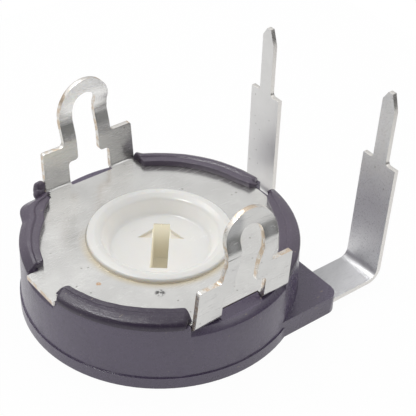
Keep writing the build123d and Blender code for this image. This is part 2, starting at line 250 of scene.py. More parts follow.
def dark_moulding(name, far_tone, shaded_near_tone, gloss, sparkle):
    """The near tone is painted shade for the side towards the camera. A sparkle of 1 gives coarse
    grain and painted glints.
    """
    f = Finish(name)
    cloud = f.noise(3.0, 3.0, seed=0.3)
    grain = f.noise(0.09, 3.0, 0.6)
    worn = f.noise(0.5, 4.0, seed=0.1)
    # The side towards the camera gets the near tone, which is painted shade.
    tone = f.mix(f.step(f.behind(), -1, -5), far_tone, shaded_near_tone)
    tone = f.mix(f.step(cloud, 0.3, 0.7) * 0.16, tone, (0.05, 0.04, 0.06))
    tone = f.mix(f.step(worn, 0.64, 0.8) * 0.3, tone, (0.2, 0.18, 0.22))
    fibres = f.strokes(0.11, 0.8, (0, 0, 38), 0.765, 0.31)
    fibres = fibres + f.strokes(0.1, 0.7, (70, 20, 5), 0.78, 0.77)
    tone = f.mix(f.clamp(fibres) * 0.8, tone, (0.45, 0.37, 0.25))
    # Painted glints: pale grains in the colour of the coarse skin, standing for lamp sparkle.
    painted_glint = f.step(f.noise(0.07, 1.0, seed=0.9), 0.64, 0.72) * sparkle * 0.25
    tone = f.mix(painted_glint, tone, (0.34, 0.33, 0.35))
    rough = f.clamp((worn - 0.5) * 0.14 + (grain - 0.5) * 0.1 + (0.28 - sparkle * 0.06), 0.1, 0.9)
    coarse = f.bump(grain * (0.08 + sparkle * 0.92), 0.022)
    return f.done(
        Base_Color=tone, Roughness=rough, Normal=f.bump(worn, 0.012, coarse),
        Specular_IOR_Level=gloss,
    )


cup_tone = (0.08, 0.059, 0.113)
moulding_finish = dark_moulding("dark_moulding", cup_tone, cup_tone, 0.85, 0)
rolled_finish = dark_moulding("rolled_moulding", (0.1, 0.079, 0.116), (0.034, 0.022, 0.048), 0.5, 1)

# %% [markdown]
# ## Tinned sheet
# The cover and the terminals are stamped from sheet metal that was tinned before it was cut. Tin is
# a dull mirror: it reflects everything near it, softly, and fine scratches run across it. One
# function mixes the marks over each other, the large and soft ones first and the small ones on top.

# %% Tin
def tin(name, tone, roughness, scratches, dark=0.35, metal=0.85, marks=(), painted_reflection_ring=None, painted_light_spots=(),
        darker_below=None):
    """Dull tin. A scratch is (width, length, direction, share) and a spot of painted light or shade
    is (place, radius, softness, grey), in mm."""
    f = Finish(name)
    cloud = f.step(f.noise(2.4, 4.0, 0.55, seed=0.2), 0.3, 0.7)
    fine = f.noise(0.3, 3.0, 0.6, seed=0.5)
    scratch = f.clamp(sum(
        f.strokes(width, length, turn, share, 0.17 * (number + 1))
        for number, (width, length, turn, share) in enumerate(scratches)
    ))
    colour = f.mix(cloud, [c * 0.95 for c in tone], [min(c * 1.04, 1) for c in tone])
    # Spots of painted light and shade: lighter and darker greys for the room's reflections in the
    # metal.
    for *place, grey in painted_light_spots:
        colour = f.mix(f.spot(*place), colour, (grey, grey, grey))
    colour = f.mix(scratch * dark, colour, (0.3, 0.295, 0.3))
    rubbed = f.strokes(0.06, 0.5, (0, 0, -70), 0.79, 0.9)
    rubbed = rubbed + f.strokes(0.07, 0.4, (50, 0, 15), 0.79, 0.6)
    colour = f.mix(f.clamp(rubbed) * 0.6, colour, (0.95, 0.95, 0.93))
    colour = f.mix(f.specks(0.42, 0.06, 0.4) * 0.6, colour, (0.25, 0.24, 0.22))
    for x, y, z, radius, strength, tint in marks:
        broken = f.step(f.noise(0.3, 2.0, 0.6, seed=0.33), 0.42, 0.52)
        colour = f.mix(f.spot(x, y, z, radius) * broken * strength, colour, tint)
    # A tan ring round the rotor on the near side: a painted reflection of the rotor's side.
    if painted_reflection_ring:
        start, end, tint = painted_reflection_ring
        near_side = f.step(f.behind(), 1.5, -3.0)
        colour = f.mix(f.step(f.from_axis(), end, start) * near_side * 0.75, colour, tint)
    # Darker grey below a given height.
    if darker_below:
        colour = f.mix(f.step(f.z, darker_below, darker_below - 0.5) * 0.85, colour, (0.4, 0.4, 0.41))
    rough = roughness + (cloud - 0.5) * 0.05 + (fine - 0.5) * 0.05 + scratch * 0.08
    normal = f.bump(fine, 0.0006, f.bump(scratch, -0.002))
    return f.done(
        Base_Color=colour, Roughness=f.clamp(rough, 0.08, 0.8), Metallic=metal, Normal=normal
    )


print("tin mixer ready")

# %% [markdown]
# The three sheets differ in tone, gloss and wear. On the cover a dark scrape and a tan spot are
# placed one by one, and a tan ring round the near side of the rotor is a painted reflection of the
# rotor's side. A few soft lighter and darker spots on the bent metal are painted reflections of the
# real room.

# %% Cover and terminal tin
cover_marks = [  # place, radius, strength and tint: a dark scrape and a tan spot
    (-3.61, -4.99, cover_top, 0.42, 0.9, (0.06, 0.06, 0.06)),
    (-6.39, -1.88, cover_top, 0.22, 0.8, (0.6, 0.36, 0.18)),
]
# Painted reflections: lighter at the back clip's tip and on the front clip's strands, darker at the
# upper left of its loop.
clip_painted_light = [  # place, radius, softness and grey: the back clip's tip, then the front clip's loop
    (0, 9.3, 12.3, 3.0, 0.6, 0.96), (-1.6, -9.3, 12.4, 1.35, 0.55, 0.44),
    (-1.5, -9.45, 10.9, 0.65, 0.4, 0.96), (1.5, -9.45, 10.9, 0.65, 0.4, 0.96),
]
# A painted reflection of the rotor's warm side, as a tan ring on the cover.
rotor_reflection_ring = (5.2, 5.9, (0.62, 0.53, 0.36))  # where it starts and ends, in mm from the axis
cover_finish = tin("dull_tin", (0.665, 0.66, 0.645), 0.24, [
    (0.05, 2.6, (0, 0, 20), 0.7), (0.04, 1.6, (0, 0, -48), 0.72), (0.035, 1.1, (90, 0, 35), 0.72),
], metal=0.8, marks=cover_marks, painted_reflection_ring=rotor_reflection_ring, painted_light_spots=clip_painted_light)
# A painted highlight: lighter tin on the front terminal's upright.
leg_painted_highlight = (13.5, -7.3, 5.5, 4.8, 0.3, 0.96)
front_leg_finish = tin("rubbed_tin", (0.8, 0.8, 0.81), 0.42, [
    (0.07, 0.6, (0, 75, 12), 0.65), (0.06, 0.5, (0, 40, -20), 0.65), (0.05, 2.4, (0, 88, 3), 0.68),
], dark=0.75, painted_light_spots=[leg_painted_highlight], darker_below=1.4)
rear_leg_finish = tin("smooth_tin", (0.74, 0.735, 0.725), 0.37, [
    (0.05, 2.2, (0, 88, 4), 0.73), (0.04, 1.2, (0, 70, -15), 0.74),
])

# %% [markdown]
# The press cut the sheet after it was tinned, so the cut edges show the warm metal inside. The cut
# also smears tin over them, here and there on the cover, and nearly everywhere on the terminals. A
# second material on the edge faces shows that more simply than a mask in the first one would.

# %% Cut edges
def cut_metal(name, tinned):
    """A cut edge, of which the share called tinned is smeared over with tin."""
    f = Finish(name)
    smear = f.step(f.noise(0.7, 3.0, 0.6, seed=0.12), 0.56 - tinned * 0.5, 0.72 - tinned * 0.5)
    grain = f.noise(0.06, 2.0)
    warm = f.mix(f.noise(0.35, 2.0, seed=0.4), (0.5, 0.39, 0.3), (0.74, 0.63, 0.5))
    colour = f.mix(smear * 0.9, warm, (0.74, 0.73, 0.71))
    return f.done(
        Base_Color=colour, Metallic=0.9, Roughness=f.clamp(0.3 + (grain - 0.5) * 0.4),
        Normal=f.bump(grain, 0.01),
    )


edge_finish = cut_metal("cut_edge", 0.3)
leg_edge_finish = cut_metal("tinned_cut_edge", 1.0)

# %% [markdown]
# ## White rotor
# The rotor is moulded in a warm white plastic with a gloss skin, and light sinks a little way into
# it. The walls of the slot are painted cream near its mouth and darker olive towards the bottom, as
# shade. Real light would have to bounce many times to light the slot, so a weak glow of the same
# tones is added where it comes out, and a fainter glow on the sloping wall of the bowl.

# %% Rotor finish
rotor_low, rotor_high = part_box("rotor")
rim_top, hub_bottom = rotor_high.z / mm, rotor_low.z / mm
slot_mouth = rim_top - 1.25
slot_bottom = slot_mouth - 3.2
slot_half_length, slot_half_width = 2.47, 0.6
slot_turn = radians(51.4)


def rotor_white():
    f = Finish("white_moulding")
    cloud = f.noise(2.0, 3.0, seed=0.7)
    grain = f.noise(0.15, 2.0)
    white = f.mix(cloud, (0.785, 0.775, 0.745), (0.835, 0.825, 0.8))
    # Painted shade: the slot's walls turn from cream to darker olive towards the bottom.
    depth = f.step(f.z, slot_mouth - 0.03, slot_bottom + 0.4)
    cream = f.mix(depth, (0.8, 0.76, 0.67), (0.58, 0.55, 0.47))
    radius = f.from_axis()
    inside = (radius < 2.75) * (f.z < slot_mouth - 0.02) * (f.z > hub_bottom + 0.05)
    colour = f.mix(inside, white, cream)
    # Painted shade round the foot of the rim, where it meets the cover.
    under = f.step(radius, 4.98, 5.12) * f.step(f.z, cover_top + 0.12, cover_top)
    colour = f.mix(under * 0.6, colour, (0.62, 0.54, 0.38))
    hair = f.strokes(0.045, 1.5, (0, 0, -28), 0.775, 0.53)
    colour = f.mix(hair * 0.5, colour, (0.42, 0.38, 0.3))
    rough = f.clamp(0.24 + (cloud - 0.5) * 0.14 + (grain - 0.5) * 0.08)
    across = f.y * cos(slot_turn) - f.x * sin(slot_turn)
    in_slot = across * across < (slot_half_width + 0.056) ** 2
    lit = f.step(f.z, slot_mouth - 0.02, slot_mouth - 0.12) * inside * in_slot
    # A faint glow on the bowl's sloping wall: painted light, as the slot's glow is.
    bowl = f.step(radius, 4.8, 4.2) * f.step(f.z, rim_top - 0.15, rim_top - 0.4)
    bowl_glow = f.mix(bowl * f.step(radius, 3.4, 3.75), (0, 0, 0), (0.1, 0.095, 0.088))
    glow = f.mix(lit, bowl_glow, f.mix(depth, (0.25, 0.245, 0.205), (0.155, 0.14, 0.105)))
    return f.done(
        Base_Color=colour, Roughness=rough, Normal=f.bump(cloud, 0.02, f.bump(grain, 0.002)),
        Subsurface_Weight=0.35, Subsurface_Radius=(1.0, 0.8, 0.55), Subsurface_Scale=0.0012,
        Emission_Color=glow, Emission_Strength=1.0,
    )


rotor_finish = rotor_white()

# %% [markdown]
# ## What the cover hides
# Inside are a brown paper-resin wafer, a printed track of black carbon with silver ends, hollow
# rivets, a bronze spring and a carbon brush. Only the back and the gaps show a little of them, so
# their solids stay as they are, but each one has its own plain finish.

# %% Inner finishes
def plain(name, dark, pale, size, roughness, metal, depth, turn=None):
    """Two tones of one stuff, clouded or streaked, with a matching bump."""
    f = Finish(name)
    cloud = f.noise(size, 4.0, 0.6)
    if turn:
        cloud = cloud * 0.5 + f.strokes(0.05, 2.0, turn, 0.5) * 0.5
    colour = f.mix(cloud, dark, pale)
    rough = f.clamp(roughness + (cloud - 0.5) * 0.2)
    return f.done(
        Base_Color=colour, Roughness=rough, Metallic=metal, Normal=f.bump(cloud, depth)
    )


inner_finishes = {  # node, name, two tones, patch size, roughness, metal, depth, direction of grain
    node: plain(*values) for node, *values in (
        ("resistive_wafer", "paper_board", (0.2, 0.1, 0.04), (0.38, 0.22, 0.1), 0.6, 0.5, 0, 0.01),
        ("carbon_track", "carbon_ink", (0.012, 0.012, 0.013), (0.03, 0.03, 0.032), 0.1, 0.6, 0, 0.01),
        ("front_end_pad", "silver_ink", (0.5, 0.5, 0.48), (0.7, 0.7, 0.68), 0.2, 0.45, 1, 0.008),
        ("wiper_spring", "spring_bronze", (0.5, 0.3, 0.13), (0.72, 0.47, 0.24), 0.5, 0.3, 1, 0.004,
         (0, 0, 51)),
        ("wiper_brush", "carbon_block", (0.03, 0.03, 0.032), (0.07, 0.07, 0.075), 0.12, 0.55, 0, 0.01),
    )
}
inner_finishes["rear_end_pad"] = inner_finishes["front_end_pad"]
rivet_finish = plain("drawn_brass", (0.55, 0.43, 0.22), (0.8, 0.66, 0.38), 0.3, 0.28, 1, 0.004)
for node, finish in inner_finishes.items():
    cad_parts[node].data.materials.clear()
    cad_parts[node].data.materials.append(finish)
print("inner nodes finished:", len(inner_finishes))

# %% [markdown]
# ## Turning a profile with Geometry Nodes
# The rotor, the rivets and the rolled lips all follow one rule: a profile is carried round an axis.
# The tree below takes the profile as a row of points, wraps a grid round the axis, reads each row of
# the grid from its profile point, and closes the seams. An arc that isn't a full turn has its ends
# drawn in to a rounded nose, and a little noise makes a pressed lip uneven. A Screw modifier could
# turn a profile too, but it can't slant or round the ends.

# %% The turning tree
def named_input(group, name, kind, value=None):
    socket = group.interface.new_socket(name=name, in_out="INPUT", socket_type=kind)
    if value is not None:
        socket.default_value = value
    return socket.identifier


def turning_tree():
    group = bpy.data.node_groups.new("turned profile", "GeometryNodeTree")
    t = Tree(group)
    names = [("Profile", "NodeSocketGeometry", None)]
    names += [(n, "NodeSocketFloat", v) for n, v in (
        ("Start", 0.0), ("Sweep", 2 * pi), ("Start Slant", 0.0), ("End Slant", 0.0), ("Nose", 0.0),
        ("Centre Radius", 0.0), ("Centre Height", 0.0), ("Lump Height", 0.0), ("Lump Size", 1.0),
        ("Lumps Above", 0.0), ("Seed", 0.0),
    )]
    names += [("Steps", "NodeSocketInt", 128), ("Finish", "NodeSocketMaterial", None)]
    ids = {name: named_input(group, name, kind, value) for name, kind, value in names}
    group.interface.new_socket(name="Geometry", in_out="OUTPUT", socket_type="NodeSocketGeometry")
    given = {name: t.node("NodeGroupInput", out=number) for number, name in enumerate(ids)}

    count = t.node("GeometryNodeAttributeDomainSize", None, {0: given["Profile"]})
    grid = t.node("GeometryNodeMeshGrid", None, {
        "Size X": 1.0, "Size Y": 1.0, "Vertices X": given["Steps"] + 1, "Vertices Y": count,
    })
    across, along, _ = t.split(t.node("GeometryNodeInputPosition"))
    share = across + 0.5
    row = t.node("ShaderNodeMath", {"operation": "ROUND"}, {0: (along + 0.5) * (count - 1)})
    point = t.node(
        "GeometryNodeSampleIndex", {"data_type": "FLOAT_VECTOR"},
        {"Geometry": given["Profile"], "Value": t.node("GeometryNodeInputPosition"), "Index": row},
    )
    reach, _, height = t.split(point)
    slant = given["Start Slant"] * (1 - share) + given["End Slant"] * share
    angle = given["Start"] + given["Sweep"] * share + slant * (given["Centre Radius"] - reach)
    edge = t.node("ShaderNodeMath", {"operation": "MINIMUM"}, {0: share, 1: 1 - share})
    from_end = edge * given["Sweep"] * given["Centre Radius"]
    nearness = 1 - t.clamp((from_end + 1e-12) / (given["Nose"] + 1e-12))
    size = t.clamp(1 - nearness * nearness) ** 0.5
    radius = given["Centre Radius"] + (reach - given["Centre Radius"]) * size
    level = given["Centre Height"] + (height - given["Centre Height"]) * size
    cosine = t.node("ShaderNodeMath", {"operation": "COSINE"}, {0: angle})
    sine = t.node("ShaderNodeMath", {"operation": "SINE"}, {0: angle})
    wrapped = t.node("ShaderNodeCombineXYZ", None, {0: radius * cosine, 1: radius * sine, 2: level})
    cloud = t.node("ShaderNodeTexNoise", {"noise_dimensions": "4D"}, {
        "Vector": wrapped, "Scale": 1 / given["Lump Size"], "W": given["Seed"], "Detail": 3.0,
    }, "Color")
    soft = t.step(height, given["Lumps Above"], given["Lumps Above"] + 0.5 * mm)
    lump = t.vector(
        "SCALE", t.vector("SUBTRACT", cloud, (0.5, 0.5, 0.5)), scale=given["Lump Height"] * soft
    )
    placed = t.node(
        "GeometryNodeSetPosition", None, {"Geometry": grid, "Position": t.vector("ADD", wrapped, lump)}
    )
    closed = t.node("GeometryNodeMergeByDistance", None, {"Geometry": placed, "Distance": 0.002 * mm})
    smooth = t.node("GeometryNodeSetShadeSmooth", None, {"Geometry": closed})
    real = t.node("GeometryNodeRealizeInstances", None, {"Geometry": smooth})
    ended = t.node("GeometryNodeSetMaterial", None, {"Geometry": real, "Material": given["Finish"]})
    t.node("NodeGroupOutput", None, {0: ended})
    return group, ids


turning, turning_ids = turning_tree()
print("turning tree:", len(turning.nodes), "nodes")

# %% [markdown]
# A profile is written as a few corners, each with its own radius, as on a drawing. This helper turns
# the corners into points along true arcs.

# %% Rounding a profile
def rounded(corners, closed=False, steps=6):
    """The corners (across, up, radius) in mm, each turned round by its radius."""
    outline, last = [], len(corners) - 1
    for number, (x, z, radius) in enumerate(corners):
        here = Vector((x, z))
        if radius == 0 or (not closed and number in (0, last)):
            outline.append(here)
            continue
        before = (Vector(corners[number - 1][:2]) - here).normalized()
        after = (Vector(corners[(number + 1) % len(corners)][:2]) - here).normalized()
        half = before.angle(after) / 2
        centre = here + (before + after).normalized() * (radius / sin(half))
        first = here + before * (radius * cos(half) / sin(half)) - centre
        final = here + after * (radius * cos(half) / sin(half)) - centre
        sweep = pi - 2 * half
        for step in range(steps + 1):
            part = step / steps
            arm = (first * sin((1 - part) * sweep) + final * sin(part * sweep)) / sin(sweep)
            outline.append(centre + arm)
    return outline + outline[:1] if closed else outline


print("one rounded corner has", len(rounded([(0, 0, 0), (1, 0, 0.3), (1, 1, 0)])) - 2, "points")

# %% [markdown]
# A tree runs as a modifier. Its result is taken from the evaluated object as a plain mesh, because
# only plain meshes are handed on. A wrapped grid doesn't promise which way its faces look, so they
# are turned outward afterwards.

# %% Running the tree
def add_piece(name, mesh):
    piece = bpy.data.objects.new(name, mesh)
    bpy.context.scene.collection.objects.link(piece)
    return piece


def settled(piece):
    """Replaces a piece's live modifiers by the plain mesh that they make."""
    view = bpy.context.evaluated_depsgraph_get()
    mesh = bpy.data.meshes.new_from_object(piece.evaluated_get(view))
    piece.modifiers.clear()
    piece.data = mesh
    return piece


def outward(piece):
    """Turns every face of a closed mesh outward."""
    shape = bmesh.new()
    shape.from_mesh(piece.data)
    bmesh.ops.remove_doubles(shape, verts=shape.verts, dist=0.001 * mm)
    bmesh.ops.recalc_face_normals(shape, faces=shape.faces)
    shape.to_mesh(piece.data)
    shape.free()
    return piece


def turned(name, profile, finish, **sizes):
    """Runs the turning tree on a profile, with its sizes given by their input names."""
    points = [(v.x * mm, 0, v.y * mm) for v in profile]
    mesh = bpy.data.meshes.new(name)
    mesh.from_pydata(points, [], [])
    piece = add_piece(name, mesh)
    modifier = piece.modifiers.new("turned", "NODES")
    modifier.node_group = turning
    modifier[turning_ids["Finish"]] = finish
    for key, value in sizes.items():
        modifier[turning_ids[key.replace("_", " ")]] = value
    return outward(settled(piece))


print("turning inputs:", ", ".join(turning_ids))

# %% [markdown]
# Cup, lips and beads are one moulding, so they end as one object. Joining copies the meshes one
# after another into a new one and keeps the finish of each face.

# %% Joining pieces
def joined(name, pieces):
    """Makes one object of several, keeping their finishes."""
    shape = bmesh.new()
    finishes = []
    for piece in pieces:
        own = list(piece.data.materials)
        start = len(shape.faces)
        shape.from_mesh(piece.data)
        shape.faces.ensure_lookup_table()
        for finish in own:
            if finish not in finishes:
                finishes.append(finish)
        for face in shape.faces[start:]:
            face.material_index = finishes.index(own[face.material_index])
        bpy.data.objects.remove(piece)
    mesh = bpy.data.meshes.new(name)
    shape.to_mesh(mesh)
    shape.free()
    for finish in finishes:
        mesh.materials.append(finish)
    return add_piece(name, mesh)


print("joining ready")

# %% [markdown]
# ## The rotor
# Its wide rim stands up through the hole of the cover, a sloping wall leads down to the floor of the
# bowl, and the slot is cut into the floor with an arrowhead at one end. The rest is one profile, which
# keeps every ring truly round. The slot and the arrowhead are cut out afterwards with two prisms.

# %% Rotor body and its cutters
flange_bottom, flange_top = cover_bottom - 1.35, cover_bottom - 0.15
rotor_profile = rounded([
    (0, hub_bottom, 0), (2.9, hub_bottom, 0.15), (2.9, flange_bottom, 0.1),
    (5.9, flange_bottom, 0.1), (5.9, flange_top, 0.15), (5.2, flange_top, 0.05),
    (5.2, cover_top - 0.02, 0.03), (5.15, cover_top + 0.02, 0.03), (5.14, rim_top - 0.05, 0.11),
    (4.6, rim_top + 0.01, 0.35), (4.15, rim_top - 0.2, 0.4), (3.52, slot_mouth, 0.3),
    (0, slot_mouth, 0),
])
rotor_body = turned("rotor_body", rotor_profile, rotor_finish, Steps=160)


def flat_cutter(name, outline, low, high):
    """A prism over an outline, for cutting."""
    shape = bmesh.new()
    ring = [shape.verts.new((x * mm, y * mm, low * mm)) for x, y in outline]
    base = shape.faces.new(ring)
    grown = bmesh.ops.extrude_face_region(shape, geom=[base])["geom"]
    for vertex in [g for g in grown if isinstance(g, bmesh.types.BMVert)]:
        vertex.co.z = high * mm
    bmesh.ops.recalc_face_normals(shape, faces=shape.faces)
    mesh = bpy.data.meshes.new(name)
    shape.to_mesh(mesh)
    shape.free()
    mesh.transform(Matrix.Rotation(slot_turn, 4, "Z"))
    mesh.materials.append(rotor_finish)
    return add_piece(name, mesh)


slot_cutter = flat_cutter("slot", [
    (-slot_half_length, -slot_half_width), (slot_half_length, -slot_half_width),
    (slot_half_length, slot_half_width), (-slot_half_length, slot_half_width),
], slot_bottom, rim_top + 1)
arrow_reach, arrow_depth = 1.65, 0.22
arrow_foot = slot_half_length - arrow_reach
arrow_cutter = flat_cutter("arrow", [
    (slot_half_length + 0.05, 0), (arrow_foot, arrow_reach), (arrow_foot, -arrow_reach),
], slot_mouth - arrow_depth, rim_top + 1)
print("slot", 2 * slot_half_length, "by", 2 * slot_half_width, "mm")

# %% [markdown]
# The floor is merged into one flat face before the cut. A boolean through a fan of thin triangles
# leaves splinters, which the bevel would turn into creases. The narrow bevel then softens the new
# edges, because a moulding has no sharp ones.

# %% Cut, bevel and place the rotor
flat_angle = radians(0.3)  # faces that differ by less than this count as one plane


def flattened(piece):
    """Merges neighbouring faces that lie in one plane."""
    shape = bmesh.new()
    shape.from_mesh(piece.data)
    bmesh.ops.dissolve_limit(shape, angle_limit=flat_angle, verts=shape.verts, edges=shape.edges)
    shape.to_mesh(piece.data)
    shape.free()
    return piece


def softened(piece, width, angle=35, segments=2):
    """Adds a narrow rounded edge where faces meet sharply, and keeps flat faces flat. In mm."""
    bevel = piece.modifiers.new("soft edges", "BEVEL")
    bevel.width, bevel.segments = width * mm, segments
    bevel.limit_method, bevel.angle_limit = "ANGLE", radians(angle)
    weighted = piece.modifiers.new("flat faces", "WEIGHTED_NORMAL")
    weighted.mode, weighted.weight = "FACE_AREA", 80
    for face in piece.data.polygons:
        face.use_smooth = True
    return settled(piece)


flattened(rotor_body)
for cutter in (arrow_cutter, slot_cutter):
    cut = rotor_body.modifiers.new("cut", "BOOLEAN")
    cut.operation, cut.solver, cut.object = "DIFFERENCE", "EXACT", cutter
settled(rotor_body)
for cutter in (arrow_cutter, slot_cutter):
    bpy.data.objects.remove(cutter)
softened(rotor_body, 0.05, 40, 3)
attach(rotor_body, "rotor")
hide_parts("rotor")
print("rotor faces:", len(rotor_body.data.polygons))

# %% [markdown]
# ## The sheet metal pieces
# The solids of the cover and the terminals already have the true bends. A copy of each is merged,
# its flat faces are joined up, and its edges get the small rounding that stamping leaves. Drawing the
# sheets afresh would only risk another shape. Faces that the press cut through are told apart by
# where they lie and which way they face, and get the edge finish.

# %% Copying a solid
def copied(node, name, finishes, choose=None):
    """A merged copy of a solid. choose(centre, normal) gives the number of a face's finish."""
    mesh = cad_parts[node].data.copy()
    mesh.materials.clear()
    for finish in finishes:
        mesh.materials.append(finish)
    shape = bmesh.new()
    shape.from_mesh(mesh)
    bmesh.ops.remove_doubles(shape, verts=shape.verts, dist=0.002 * mm)
    bmesh.ops.dissolve_limit(shape, angle_limit=flat_angle, verts=shape.verts, edges=shape.edges)
    for face in shape.faces:
        face.material_index = choose(face.calc_center_median() / mm, face.normal) if choose else 0
    shape.to_mesh(mesh)
    shape.free()
    mesh.name = name
    return add_piece(name, mesh)


def cover_edge(centre, normal):
    """1 for a face that the press cut through, 0 for tinned sheet."""
    if centre.z > 5.5:  # the clips, whose sheet faces along Y
        return int(abs(normal.y) < 0.5)
    if abs(centre.y) > 8.3 and 1.7 < abs(centre.x) < 4:  # their feet, where the sheet turns up
        return int(abs(normal.x) > 0.5)
    return int(abs(normal.z) < 0.5)


def terminal_edge(centre, normal):
    """The same for a terminal, whose sheet faces along X above its bend."""
    if centre.z > 1.3:
        return int(abs(normal.x) < 0.5)
    return int(abs(normal.y) > 0.5)


print("triangles in the cover's solid:", len(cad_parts["cover_plate"].data.polygons))

# %% [markdown]
# A clip is bent over round tools, so a bend is spread over about a millimetre. In the solid the bends
# are creases. The copy is cut at a row of levels round each crease, and the levels are shifted so
# that the slope changes evenly. Bent tin shows a bend as a soft band, but cutting leaves long thin
# faces that would break the band up. So the sheet faces get normals that depend on height alone.

# %% Softer bends
def straightened(piece, low, share):
    """Leans what stands above low on the far side outward by a share of its height. In mm."""
    for vertex in piece.data.vertices:
        if vertex.co.z > low * mm and vertex.co.y > 0:
            vertex.co.y += (vertex.co.z - low * mm) * share
    return piece


def eased(piece, bends, reach):
    """Widens the bends of both clips: each bend is (height, slope below, slope above). In mm."""
    shape = bmesh.new()
    shape.from_mesh(piece.data)
    for height, _, _ in bends:
        for part in range(-6, 7):
            level = height + reach * part / 6
            bmesh.ops.bisect_plane(
                shape, geom=shape.verts[:] + shape.edges[:] + shape.faces[:], dist=0.0005 * mm,
                plane_co=(0, 0, level * mm), plane_no=(0, 0, 1),
            )
    for vertex in shape.verts:
        shift = 0
        for height, below, above in bends:
            far = abs(vertex.co.z / mm - height)
            if far < reach:
                shift += (above - below) * (reach - far) ** 2 / (4 * reach)
        vertex.co.y += shift * mm * (1 if vertex.co.y > 0 else -1)
    shape.to_mesh(piece.data)
    shape.free()
    return piece


def softly_lit(piece, near_bends, far_bends, reach, low):
    """Gives the sheet faces above low normals that change only with height, as round a soft bend."""
    mesh = piece.data
    normals = [Vector(corner.vector) for corner in mesh.corner_normals]

    def upright(place, side):
        bends = far_bends if side > 0 else near_bends
        slope = bends[0][1]
        for height, below, above in bends:
            slope += (above - below) * min(max((place.z / mm - height + reach) / (2 * reach), 0), 1)
        return Vector((0, side, -slope)).normalized()

    for face in mesh.polygons:
        side = 1 if face.center.y > 0 else -1
        way = face.normal.dot(upright(face.center, side))
        if face.center.z < low * mm or abs(way) < 0.95:
            continue
        for corner in face.loop_indices:
            place = mesh.vertices[mesh.loops[corner].vertex_index].co
            normals[corner] = upright(place, side) * (1 if way > 0 else -1)
    mesh.normals_split_custom_set(normals)


bend_reach = 0.6
clip_bends = [(8.45, 0.09, 0.31), (10.2, 0.31, -0.37), (11.7, -0.37, -0.07)]
far_bends = [(8.45, 0.09, 0.31), (10.2, 0.31, -0.22), (11.7, -0.22, -0.02)]
print("bends of a clip at heights", [height for height, _, _ in clip_bends], "mm")

# %% [markdown]
# The cover, its tab and both clips are one sheet. Above its middle bend the clip at the back leans
# outward a little more than the other, and it is shaded a little straighter.

# %% Cover
cover = copied("cover_plate", "tinned_cover", [cover_finish, edge_finish], cover_edge)
eased(cover, clip_bends, bend_reach)
cover = softened(straightened(cover, 10.5, 0.05), 0.045)
softly_lit(cover, clip_bends, far_bends, bend_reach, 5.7)
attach(cover, "base")
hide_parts("cover_plate")
print("cover faces:", len(cover.data.polygons))

# %% [markdown]
# The terminals come from the same sheet, and need no more than the copy and its rounded edges. The
# front one has been rubbed, and is darker grey along its foot. The rear one is smooth.

# %% Terminals
for side, finish in (("front", front_leg_finish), ("rear", rear_leg_finish)):
    node = f"{side}_terminal"
    leg = softened(copied(node, f"{side}_leg", [finish, leg_edge_finish], terminal_edge), 0.04)
    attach(leg, "base")
    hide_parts(node)
    print(leg.name, len(leg.data.polygons), "faces")

# %% [markdown]
# ## The cup and its rolled lips
# The wall, the square corners and the bearing come from the solid, cut off level with the top of
# the cover, because the lips above it need a finer shape. Where the cut goes through the wall it
# leaves an open ring, which is filled again before the edges are rounded.

# %% Cup
def trimmed_cup():
    cup = copied("housing", "cup", [moulding_finish])
    shape = bmesh.new()
    shape.from_mesh(cup.data)
    everything = shape.verts[:] + shape.edges[:] + shape.faces[:]
    bmesh.ops.bisect_plane(
        shape, geom=everything, dist=0.0005 * mm, plane_co=(0, 0, (cover_top - 0.01) * mm),
        plane_no=(0, 0, 1), clear_outer=True,
    )
    open_edges = [edge for edge in shape.edges if edge.is_boundary]
    bmesh.ops.triangle_fill(shape, edges=open_edges, use_beauty=True)
    bmesh.ops.remove_doubles(shape, verts=shape.verts, dist=0.005 * mm)
    bmesh.ops.recalc_face_normals(shape, faces=shape.faces)
    bmesh.ops.dissolve_limit(shape, angle_limit=flat_angle, verts=shape.verts, edges=shape.edges)
    shape.to_mesh(cup.data)
    shape.free()
    return softened(cup, 0.05)


cup = trimmed_cup()
print("cup faces:", len(cup.data.polygons))

# %% [markdown]
# The lips were pressed over with a hot tool, so no two are alike. Each is a turned profile over its
# own arc, with a rounded nose at both ends and uneven lumps. Its section is a strip that slopes down
# to the inner edge, a groove where the rim of the tool pressed, a crest just outside it, and a
# rounded slope down to the wall. The ends are slanted where the plastic flowed round a foot of a
# clip. A few pairs of angle and shift then move the inner edge in or out along the lip.

# %% A lip's section and edge
def lip_section(inner, edge, crest, top, shoulder, shoulder_radius):
    """The closed section of a lip: radii from the axis, and heights above the cover, in mm."""
    up = cover_top
    return rounded([
        (9.6, up - 0.8, 0.02), (9.78, up - 0.1, 0.02), (9.8, up + shoulder, shoulder_radius),
        (crest + 0.3, up + top - 0.02, 0.25), (crest, up + top, 0.1),
        (crest - 0.12, up + top - 0.1, 0.04), (inner, up + edge, 0.08),
        (inner + 0.04, up + 0.005, 0.05), (9.2, up + 0.005, 0.05),
        (9.2, up - 0.8, 0.05),
    ], closed=True)


def edge_shifted(lip, shifts):
    """Moves a lip's inner edge outward by shifts, given as (angle in degrees, mm) in order."""
    for vertex in lip.data.vertices:
        radius = vertex.co.xy.length / mm
        weight = min(max((9.3 - radius) / 0.8, 0), 1)
        angle = degrees(atan2(vertex.co.y, vertex.co.x)) % 360
        before = [pair for pair in shifts if pair[0] <= angle] or shifts[:1]
        after = [pair for pair in shifts if pair[0] > angle] or shifts[-1:]
        (low, first), (high, second) = before[-1], after[0]
        share = (angle - low) / (high - low) if high > low else 0
        share = min(max(share, 0), 1)
        shift = (first + (second - first) * share * share * (3 - 2 * share)) * weight
        vertex.co.xy *= (radius + shift) / radius


print("a lip's section has", len(lip_section(8.3, 0.5, 9.0, 0.54, 0.2, 0.4)), "points")

